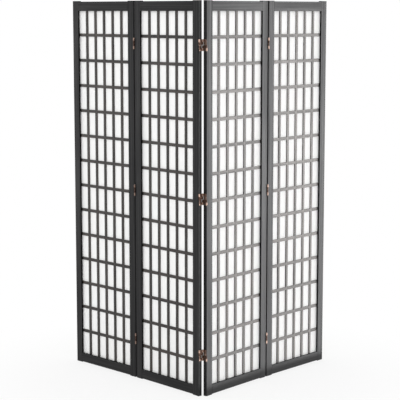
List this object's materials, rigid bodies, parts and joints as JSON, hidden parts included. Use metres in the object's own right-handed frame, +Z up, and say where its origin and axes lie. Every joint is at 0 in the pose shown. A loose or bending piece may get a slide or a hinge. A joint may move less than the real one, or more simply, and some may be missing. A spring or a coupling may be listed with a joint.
{
  "type": "shoji folding screen",
  "caption": "Free-standing folding screen: dark wood frames with a grid lattice over translucent paper, joined edge to edge by double-acting hinges.",
  "frame": {"origin": "on the floor, under the middle of the screen's bounding box in its half-open pose", "axes": "+Z up along the panels' height, +X to the right and +Y to the back for someone facing the screen's front, with the middle joint nearest to them"},
  "size_m": [1.229, 0.6716, 1.784],
  "materials": {
    "frame_wood": "black stain under a satin lacquer, straight fine grain showing faintly",
    "lattice_wood": "the same black stain, thinner on the small bars",
    "shoji_paper": "translucent white rice paper with fine long fibres",
    "hinge_metal": "antique copper plate, brown in the hollows and rubbed bright on the knuckles"
  },
  "bodies": {
    "panel_1": {"panel_1_stile_left": "frame_wood", "panel_1_stile_right": "frame_wood", "panel_1_rail_bottom": "frame_wood", "panel_1_rail_top": "frame_wood", "panel_1_lattice": "lattice_wood", "panel_1_paper": "shoji_paper", "hinge_12_bottom_leaf_left": "hinge_metal", "hinge_12_bottom_link_lower": "hinge_metal", "hinge_12_middle_leaf_left": "hinge_metal", "hinge_12_middle_link_lower": "hinge_metal", "hinge_12_top_leaf_left": "hinge_metal", "hinge_12_top_link_lower": "hinge_metal"},
    "panel_2": {"panel_2_stile_left": "frame_wood", "panel_2_stile_right": "frame_wood", "panel_2_rail_bottom": "frame_wood", "panel_2_rail_top": "frame_wood", "panel_2_lattice": "lattice_wood", "panel_2_paper": "shoji_paper", "hinge_12_bottom_leaf_right": "hinge_metal", "hinge_12_bottom_link_upper": "hinge_metal", "hinge_12_middle_leaf_right": "hinge_metal", "hinge_12_middle_link_upper": "hinge_metal", "hinge_12_top_leaf_right": "hinge_metal", "hinge_12_top_link_upper": "hinge_metal", "hinge_23_bottom_leaf_left": "hinge_metal", "hinge_23_bottom_link_upper": "hinge_metal", "hinge_23_middle_leaf_left": "hinge_metal", "hinge_23_middle_link_upper": "hinge_metal", "hinge_23_top_leaf_left": "hinge_metal", "hinge_23_top_link_upper": "hinge_metal"},
    "panel_3": {"panel_3_stile_left": "frame_wood", "panel_3_stile_right": "frame_wood", "panel_3_rail_bottom": "frame_wood", "panel_3_rail_top": "frame_wood", "panel_3_lattice": "lattice_wood", "panel_3_paper": "shoji_paper", "hinge_23_bottom_leaf_right": "hinge_metal", "hinge_23_bottom_link_lower": "hinge_metal", "hinge_23_middle_leaf_right": "hinge_metal", "hinge_23_middle_link_lower": "hinge_metal", "hinge_23_top_leaf_right": "hinge_metal", "hinge_23_top_link_lower": "hinge_metal", "hinge_34_bottom_leaf_left": "hinge_metal", "hinge_34_bottom_link_lower": "hinge_metal", "hinge_34_middle_leaf_left": "hinge_metal", "hinge_34_middle_link_lower": "hinge_metal", "hinge_34_top_leaf_left": "hinge_metal", "hinge_34_top_link_lower": "hinge_metal"},
    "panel_4": {"panel_4_stile_left": "frame_wood", "panel_4_stile_right": "frame_wood", "panel_4_rail_bottom": "frame_wood", "panel_4_rail_top": "frame_wood", "panel_4_lattice": "lattice_wood", "panel_4_paper": "shoji_paper", "hinge_34_bottom_leaf_right": "hinge_metal", "hinge_34_bottom_link_upper": "hinge_metal", "hinge_34_middle_leaf_right": "hinge_metal", "hinge_34_middle_link_upper": "hinge_metal", "hinge_34_top_leaf_right": "hinge_metal", "hinge_34_top_link_upper": "hinge_metal"}
  },
  "joints": [
    {"name": "fold_12", "type": "hinge", "parent": "panel_1", "child": "panel_2", "pos_m": [-0.31201, 0.00181, 0.892], "axis": [0, 0, -1], "range_deg": [-2, 178]},
    {"name": "fold_23", "type": "hinge", "parent": "panel_2", "child": "panel_3", "pos_m": [0, -0.31765, 0.892], "axis": [0, 0, 1], "range_deg": [-97, 82]},
    {"name": "fold_34", "type": "hinge", "parent": "panel_3", "child": "panel_4", "pos_m": [0.31201, 0.00181, 0.892], "axis": [0, 0, -1], "range_deg": [-2, 178]}
  ]
}
